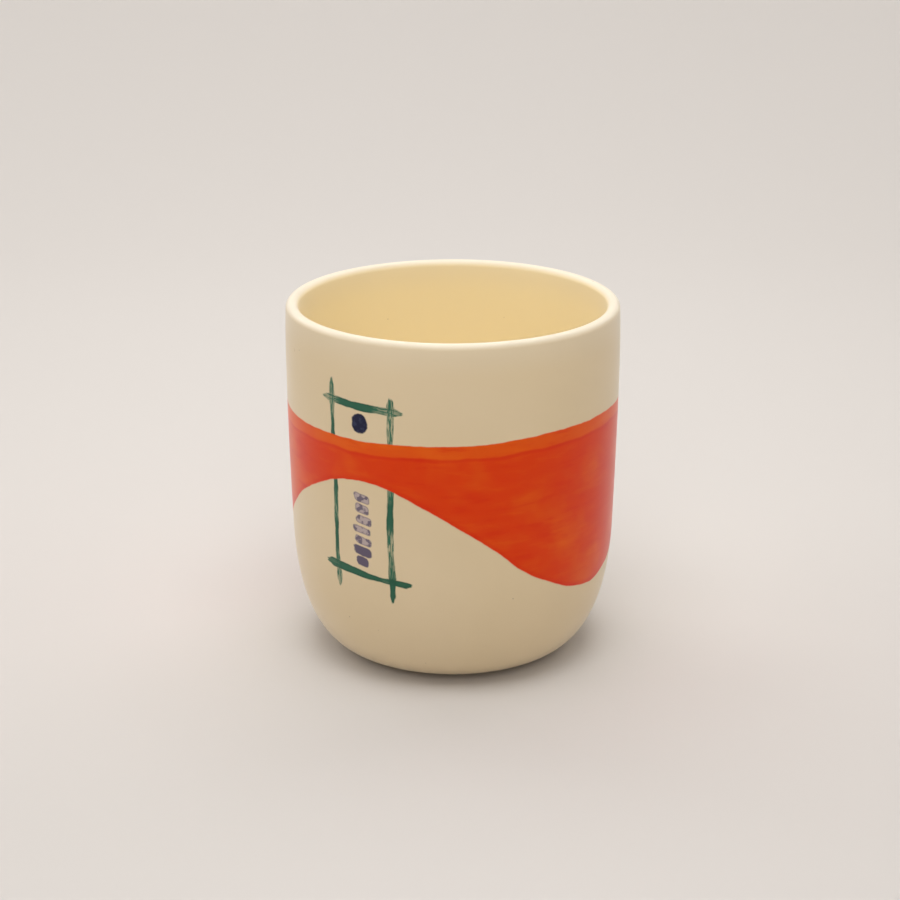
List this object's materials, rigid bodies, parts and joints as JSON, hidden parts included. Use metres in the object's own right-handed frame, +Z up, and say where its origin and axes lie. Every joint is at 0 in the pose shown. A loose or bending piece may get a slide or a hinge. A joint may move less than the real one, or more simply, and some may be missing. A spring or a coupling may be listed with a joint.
{
  "type": "cup",
  "caption": "Handleless ceramic cup with a nearly straight wall, wide rounded bottom, low foot ring and rounded lip, for hot or cold drinks.",
  "frame": {"origin": "centre of the circle that the foot ring stands on, at the lowest point of the cup", "axes": "+Z up along the axis that the cup is turned about; one of the two groups of green brush strokes faces -Y, a little towards -X"},
  "size_m": [0.082, 0.082, 0.089],
  "materials": {
    "glazed_clay": "warm cream satin-gloss glaze over brush-painted underglaze: an orange band with wavy borders, crossing thin green strokes, a dark blue dab and a column of lilac dabs, all repeated half way round; bare pale clay on the standing face of the foot ring"
  },
  "bodies": {
    "root": {"cup_body": "glazed_clay"}
  },
  "joints": []
}
